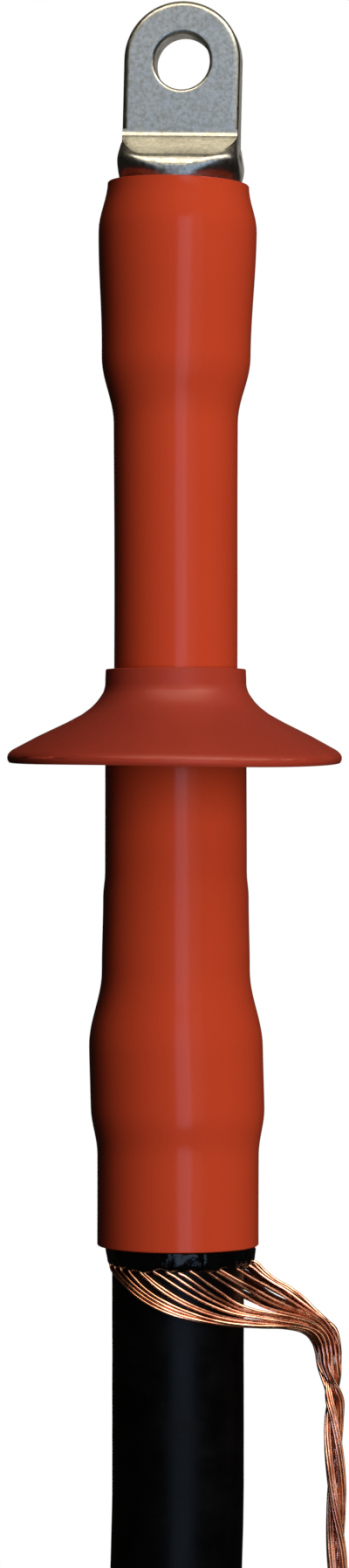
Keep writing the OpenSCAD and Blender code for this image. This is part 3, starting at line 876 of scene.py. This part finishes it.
def fold_path(k, side):
    """A screen wire's way up under the sheath, over its edge and down to the mastic."""
    inside = (k + 0.5) * math.tau / WIRE_COUNT
    outside = start_angle(k, side)
    middle = (WIRE_LAY + WIRE_BACK) / 2
    bend = (WIRE_BACK - WIRE_LAY) / 2
    profile = [(WIRE_LAY, CABLE_END, 0), (WIRE_LAY, CABLE_END - 20, 0), (WIRE_LAY, SHEATH_CUT + 4, 0)]
    for step in range(7):
        turn = math.pi * (1 - step / 6)
        profile.append((middle + bend * math.cos(turn), SHEATH_CUT - 0.8 - bend * math.sin(turn), 0))
    profile += [(WIRE_BACK, SHEATH_CUT + 4, 0), (WIRE_BACK, SHEATH_CUT + 24, 0.4)]
    profile += [(WIRE_BACK, FAN_TOP - above, share) for above, share in ((14, 0.9), (7, 1), (3.5, 1))]
    points = []
    for radius, depth, share in profile:
        angle = side * (inside + (outside - inside) * share)
        points.append(Vector((radius * math.cos(angle), radius * math.sin(angle), depth)))
    return points


def lead_centre(depth):
    """The lead's centreline about the cable's axis."""
    share = (depth - GATHER_DEPTH) / (LEAD_END - GATHER_DEPTH)
    return Vector((LEAD_START + LEAD_DRIFT * eased(share * LEAD_DRIFT_RATE), 0.0))


def lead_path(k, side, pitch):
    """A screen wire's way down the lead, in one of its three twisted strands."""
    if k < 5 or (k == 5 and side < 0):
        strand, slot = 0, k * 2 + (side > 0)
    else:
        strand, slot = (2, k - 6) if side < 0 else (1, k - 5)
    start = fan_path(k, side)[-1]
    ring, count = (STRAND_RING, RING_WIRES) if slot < RING_WIRES else (CORE_RING, CORE_WIRES)
    around = slot * math.tau / count
    points = []
    steps = 34
    for i in range(steps + 1):
        depth = GATHER_DEPTH + (LEAD_END - GATHER_DEPTH) * i / steps
        fallen = depth - GATHER_DEPTH
        waver = noise.noise(Vector((strand * 5.1, depth * 0.045, 0.5)))
        turn = math.tau * (fallen / pitch + strand / 3) + waver * 0.25
        turn += math.radians(TWIST_START + TWIST_MORE * eased(fallen / 25))
        helix = STRAND_HELIX * (1 + 0.14 * noise.noise(Vector((strand * 3.7, depth * 0.06, 2.5))))
        own = around + turn * OWN_TURN
        centre = lead_centre(depth)
        twisted = centre + helix * Vector((math.cos(turn), math.sin(turn)))
        twisted += ring * Vector((math.cos(own), math.sin(own)))
        spot = Vector((start.x, start.y)).lerp(twisted, eased(fallen / GATHER_RUN))
        points.append(Vector((spot.x, spot.y, depth)))
    return points


def all_wires():
    """The number and side of every screen wire."""
    return [(k, side) for k in range(WIRE_COUNT // 2) for side in (-1, 1)]


def in_frame(points):
    """Points about the cable's axis as points in the shared frame, swayed with the cable near it."""
    placed = []
    for point in points:
        near = 1 - eased((abs(point.x) - 20) / 25)
        placed.append(from_axis(point.x + sway(point.z) * near, point.y, point.z))
    return placed


def make_wires(look):
    """The copper screen wires, folded back over the sheath and fanned out to the lead."""
    paths = [in_frame(fold_path(k, side) + fan_path(k, side)) for k, side in all_wires()]
    return swept("copper_wires", paths, look.wire_diameter / 2)


def make_lead(look):
    """The same wires twisted into the hanging earth lead."""
    paths = [in_frame(lead_path(k, side, look.twist_pitch / MM)) for k, side in all_wires()]
    return swept("twisted_lead", paths, look.wire_diameter / 2)


# Studio


def facing(obj, place, target):
    """Puts a lamp or camera at a place, looking at a target."""
    obj.location = place
    obj.rotation_mode = "QUATERNION"
    obj.rotation_quaternion = (target - place).to_track_quat("-Z", "Y")


def around_object(azimuth, elevation, distance, target):
    """A place round a target: azimuth from the front towards +X, in degrees."""
    a = math.radians(azimuth)
    e = math.radians(elevation)
    level = math.cos(e)
    return target + distance * Vector((math.sin(a) * level, -math.cos(a) * level, math.sin(e)))


def group_of(name):
    """A group of pieces that some cards shine on alone."""
    return bpy.data.collections.get(name) or bpy.data.collections.new(name)


def shine_on(piece, *groups):
    """Lets the cards of some groups shine on a piece."""
    for name in groups:
        group_of(name).objects.link(piece)


def make_lamp(name, place, size, radiance, colour, depth=CAMERA_DEPTH, aside=0.0):
    """A soft rectangular lamp that looks at a depth of the object, or beside it, and lights it."""
    light = bpy.data.lights.new(name, "AREA")
    light.shape = "RECTANGLE"
    light.size, light.size_y = size
    light.energy = radiance * math.pi * size[0] * size[1]
    light.color = colour
    lamp = in_scene(name, light)
    lamp.visible_camera = False
    lamp.visible_glossy = False
    target = from_axis(aside, 0, depth)
    facing(lamp, around_object(*place, target), target)
    return lamp


def make_card(group, name, place, size, radiance, colour, depth, aside):
    """A lamp that shines only in the gloss of one group of pieces."""
    lamp = make_lamp(name, place, size, radiance, colour, depth, aside)
    lamp.visible_glossy = True
    lamp.visible_diffuse = False
    lamp.light_linking.receiver_collection = group_of(group)


def white_to_sight(tree):
    """1 for rays that see the backdrop directly, in a gloss or through glass, else 0."""
    path = add(tree, "ShaderNodeLightPath").outputs
    seen = path["Is Camera Ray"]
    for ray in ("Is Glossy Ray", "Is Transmission Ray"):
        seen = add(tree, "ShaderNodeMath", {0: seen, 1: path[ray]}, operation="MAXIMUM").outputs[0]
    return seen


def make_world(look):
    """A white backdrop that lights the object only a little."""
    world = bpy.data.worlds.new("studio")
    bpy.context.scene.world = world
    world.use_nodes = True
    tree = world.node_tree
    tree.nodes.clear()
    level = spread(tree, white_to_sight(tree), look.ambient, 1.0)
    backdrop = add(tree, "ShaderNodeBackground", {"Color": (1.0, 1.0, 1.0, 1.0), "Strength": level})
    add(tree, "ShaderNodeOutputWorld", {"Surface": backdrop.outputs["Background"]})


def make_floor():
    """A plain pale floor below the earth lug, out of the photograph's view."""
    shape = bmesh.new()
    bmesh.ops.create_circle(shape, cap_ends=True, segments=96, radius=0.2)
    bmesh.ops.translate(shape, verts=shape.verts[:], vec=(0, 0, CAD_BOX[0][2] - 0.004))
    floor = finished("floor", shape)
    pale = clouded("pale_floor", (0.82,) * 3, (0.78,) * 3, 12.0, (0.6, 0.8), 300.0, 0.05)
    floor.data.materials.append(pale)
    floor.visible_diffuse = False
    floor.visible_glossy = False


def make_surround(look):
    """A dim tent round the object and its lamps that only shows in reflections."""
    shape = bmesh.new()
    bmesh.ops.create_icosphere(shape, subdivisions=4, radius=3.0)
    tent = finished("tent", shape)
    material = bpy.data.materials.new("dim_tent")
    material.use_nodes = True
    tree = material.node_tree
    tree.nodes.clear()
    glow = add(tree, "ShaderNodeEmission", {"Color": (1.0, 0.86, 0.68, 1.0), "Strength": look.tent})
    add(tree, "ShaderNodeOutputMaterial", {"Surface": glow.outputs["Emission"]})
    tent.data.materials.append(material)
    tent.visible_camera = False
    tent.visible_diffuse = False
    tent.visible_transmission = False
    tent.visible_shadow = False


def make_camera(look):
    """The photograph's camera, level and a little to the right."""
    lens = bpy.data.cameras.new("camera")
    lens.lens = look.focal_length
    lens.sensor_width = 36.0
    lens.clip_start = 0.05
    lens.clip_end = 20.0
    camera = in_scene("camera", lens)
    away = Vector((math.sin(CAMERA_AZIMUTH), -math.cos(CAMERA_AZIMUTH), 0))
    side = Vector((math.cos(CAMERA_AZIMUTH), math.sin(CAMERA_AZIMUTH), 0))
    target = from_axis(0, 0, CAMERA_DEPTH) - side * CAMERA_SIDE
    facing(camera, target + away * CAMERA_DISTANCE, target)
    bpy.context.scene.camera = camera


def make_studio(look):
    """Camera, backdrop, floor, tent, lamps and cards."""
    bpy.context.scene.view_settings.view_transform = "Standard"
    make_camera(look)
    make_world(look)
    make_floor()
    make_surround(look)
    for name, place, size, radiance, colour in LAMPS:
        make_lamp(name, place, size, radiance * look.light, colour)
    for group, name, place, size, radiance, colour, depth, aside in CARDS:
        make_card(group, name, place, size, radiance * look.gloss, colour, depth, aside)


# Settings


def length_setting(name, description, default, low, high):
    """A length property in metres."""
    return bpy.props.FloatProperty(
        name=name,
        description=description,
        default=default,
        min=low,
        max=high,
        unit="LENGTH",
        precision=5,
    )


def colour_setting(name, description, default):
    """A colour property."""
    return bpy.props.FloatVectorProperty(
        name=name, description=description, default=default, size=3, min=0.0, max=1.0, subtype="COLOR"
    )


def level_setting(name, description, default, high):
    """A brightness property."""
    return bpy.props.FloatProperty(
        name=name, description=description, default=default, min=0.0, max=high
    )


class LugSettings(bpy.types.PropertyGroup):
    """The lug's tinned finish."""

    tin_colour: colour_setting("Tin", "Colour of the clean tin", (0.56, 0.56, 0.53))
    stain_colour: colour_setting("Stain", "Colour of the tin's brownish stains", (0.37, 0.34, 0.28))


class TubeSettings(bpy.types.PropertyGroup):
    """The red tube and its rain skirt."""

    tube_wall: length_setting("Tube wall", "Wall of the red tube", 0.0028, 0.001, 0.004)
    tube_ripple: length_setting("Tube ripple", "How uneven the shrunk tube is", 0.00018, 0.0, 0.001)
    skirt_wave: length_setting("Skirt wave", "How far the skirt's rim waves", 0.00025, 0.0, 0.002)
    tube_colour: colour_setting("Tube", "Colour of the red tube", (0.5, 0.053, 0.018))
    tube_shade: colour_setting("Tube shade", "Deeper red that clouds the tube", (0.46, 0.043, 0.016))
    skirt_colour: colour_setting("Skirt", "Colour of the rain skirt", (0.36, 0.042, 0.022))
    skirt_shade: colour_setting("Skirt shade", "Deeper red that clouds the skirt", (0.32, 0.036, 0.019))


class CableSettings(bpy.types.PropertyGroup):
    """The black sheath and the sealing mastic."""

    lump_height: length_setting("Lumps", "How far the mastic's lumps stand out", 0.0006, 0.0, 0.002)
    sheath_colour: colour_setting("Sheath", "Colour of the sheath", (0.0008, 0.0008, 0.001))
    sheath_dust: colour_setting("Dust", "Colour of the sheath's dust", (0.0018, 0.0019, 0.0022))
    mastic_colour: colour_setting("Mastic", "Colour of the mastic", (0.0008, 0.0008, 0.001))


class CopperSettings(bpy.types.PropertyGroup):
    """The copper screen wires and the lead."""

    wire_diameter: length_setting("Wire", "Diameter of a screen wire", 0.00095, 0.0005, 0.0015)
    twist_pitch: length_setting("Twist", "Length of one turn of the twisted lead", 0.088, 0.04, 0.2)
    copper_colour: colour_setting("Copper", "Colour of the bright copper", (0.93, 0.45, 0.27))
    tarnish_colour: colour_setting("Tarnish", "Colour of the tarnished copper", (0.4, 0.11, 0.05))


class StudioSettings(bpy.types.PropertyGroup):
    """Camera and lamps."""

    focal_length: bpy.props.FloatProperty(
        name="Focal length",
        description="Focal length of the camera",
        default=100.0,
        min=20.0,
        max=300.0,
        unit="CAMERA",
    )
    light: level_setting("Light", "Brightness of the lamps that light the object", 1.0, 5.0)
    gloss: level_setting("Gloss", "Brightness of the cards that shine in the gloss", 1.0, 5.0)
    tent: level_setting("Tent", "Brightness of the dim tent that shows in reflections", 0.012, 1.0)
    ambient: level_setting("Ambient", "How much the backdrop lights the object", 0.015, 1.0)


class TerminationSettings(bpy.types.PropertyGroup):
    """All settings of the cable termination."""

    lug: bpy.props.PointerProperty(type=LugSettings)
    tube: bpy.props.PointerProperty(type=TubeSettings)
    cable: bpy.props.PointerProperty(type=CableSettings)
    copper: bpy.props.PointerProperty(type=CopperSettings)
    studio: bpy.props.PointerProperty(type=StudioSettings)


# Operators


class TERMINATION_OT_lug(bpy.types.Operator):
    """Finish the cable lug and its shear bolts"""

    bl_idname = "termination.lug"
    bl_label = "Cable lug"

    def execute(self, context):
        look = context.scene.termination.lug
        tin = tinned_metal(look)
        paint(tin, "cable_lug")
        shine_on(frame["nodes"]["cable_lug"], LUG, TRIM)
        for piece in (make_shoulder(), make_hole_rims()):
            dress(piece, tin, "tinned_lug")
            shine_on(piece, LUG, TRIM)
        paint_plain(BOLT_FINISH)
        return {"FINISHED"}


class TERMINATION_OT_tube(bpy.types.Operator):
    """Make the red tube"""

    bl_idname = "termination.tube"
    bl_label = "Red tube"

    def execute(self, context):
        look = context.scene.termination.tube
        tube = make_tube(look)
        dress(tube, red_tubing(look), "red_tube", "anti_tracking_tube")
        shine_on(tube, TUBE)
        return {"FINISHED"}


class TERMINATION_OT_skirt(bpy.types.Operator):
    """Make the rain skirt"""

    bl_idname = "termination.skirt"
    bl_label = "Rain skirt"

    def execute(self, context):
        look = context.scene.termination.tube
        skirt = make_skirt(look)
        dress(skirt, red_skirt(look), "red_skirt", "rain_skirt")
        shine_on(skirt, TRIM)
        return {"FINISHED"}


class TERMINATION_OT_mastic(bpy.types.Operator):
    """Make the lumpy mastic band and finish the mastic inside"""

    bl_idname = "termination.mastic"
    bl_label = "Sealing mastic"

    def execute(self, context):
        look = context.scene.termination.cable
        mastic = black_mastic(look)
        mastic_band = make_mastic_band(look)
        dress(mastic_band, mastic, "mastic", "outer_seal_mastic")
        shine_on(mastic_band, TRIM)
        paint(mastic, "lug_mastic", "skirt_mastic", "inner_seal_mastic")
        return {"FINISHED"}


class TERMINATION_OT_wires(bpy.types.Operator):
    """Make the fanned copper screen wires"""

    bl_idname = "termination.wires"
    bl_label = "Screen wires"

    def execute(self, context):
        look = context.scene.termination.copper
        wires = make_wires(look)
        dress(wires, bright_copper(look), "copper", "screen_wires")
        shine_on(wires, COPPER, TRIM)
        return {"FINISHED"}


class TERMINATION_OT_lead(bpy.types.Operator):
    """Make the twisted earth lead and finish its lug"""

    bl_idname = "termination.lead"
    bl_label = "Earth lead"

    def execute(self, context):
        look = context.scene.termination.copper
        paint_plain(EARTH_LUG_FINISH)
        lead = make_lead(look)
        dress(lead, bpy.data.materials["bright_copper"], "copper", "earth_lead")
        shine_on(lead, COPPER, TRIM)
        shine_on(frame["nodes"]["earth_lug"], TRIM)
        return {"FINISHED"}


class TERMINATION_OT_cable(bpy.types.Operator):
    """Make the outer sheath and finish the cable's inner layers"""

    bl_idname = "termination.cable"
    bl_label = "Cable"

    def execute(self, context):
        look = context.scene.termination.cable
        sheath = make_sheath()
        dress(sheath, black_sheath(look), "black_sheath", "outer_sheath")
        shine_on(sheath, TRIM)
        for finish in LAYER_FINISHES:
            paint_plain(finish)
        return {"FINISHED"}


class TERMINATION_OT_studio(bpy.types.Operator):
    """Make the camera, lamps, floor and backdrop"""

    bl_idname = "termination.studio"
    bl_label = "Studio"

    def execute(self, context):
        make_studio(context.scene.termination.studio)
        return {"FINISHED"}


class TERMINATION_PT_panel(bpy.types.Panel):
    """Lists the pieces of the cable termination and their settings"""

    bl_idname = "TERMINATION_PT_panel"
    bl_label = "Cable termination"
    bl_space_type = "VIEW_3D"
    bl_region_type = "UI"
    bl_category = "Termination"

    def draw(self, context):
        settings = context.scene.termination
        for operator in OPERATORS:
            self.layout.operator(operator.bl_idname)
        for group in (settings.lug, settings.tube, settings.cable, settings.copper, settings.studio):
            box = self.layout.box()
            for key in group.__annotations__:
                box.prop(group, key)


OPERATORS = (
    TERMINATION_OT_studio,
    TERMINATION_OT_lug,
    TERMINATION_OT_tube,
    TERMINATION_OT_skirt,
    TERMINATION_OT_mastic,
    TERMINATION_OT_wires,
    TERMINATION_OT_lead,
    TERMINATION_OT_cable,
)
SETTINGS = (
    LugSettings,
    TubeSettings,
    CableSettings,
    CopperSettings,
    StudioSettings,
    TerminationSettings,
)
CLASSES = SETTINGS + OPERATORS + (TERMINATION_PT_panel,)


def register():
    """Registers the classes and hangs the settings on the scene."""
    for cls in CLASSES:
        bpy.utils.register_class(cls)
    bpy.types.Scene.termination = bpy.props.PointerProperty(type=TerminationSettings)


def unregister():
    """Takes the settings and classes away again."""
    del bpy.types.Scene.termination
    for cls in reversed(CLASSES):
        bpy.utils.unregister_class(cls)


def main():
    """Makes every piece and the studio."""
    register()
    bpy.ops.termination.studio()
    bpy.ops.termination.lug()
    bpy.ops.termination.tube()
    bpy.ops.termination.skirt()
    bpy.ops.termination.mastic()
    bpy.ops.termination.wires()
    bpy.ops.termination.lead()
    bpy.ops.termination.cable()


if __name__ == "__main__":
    main()
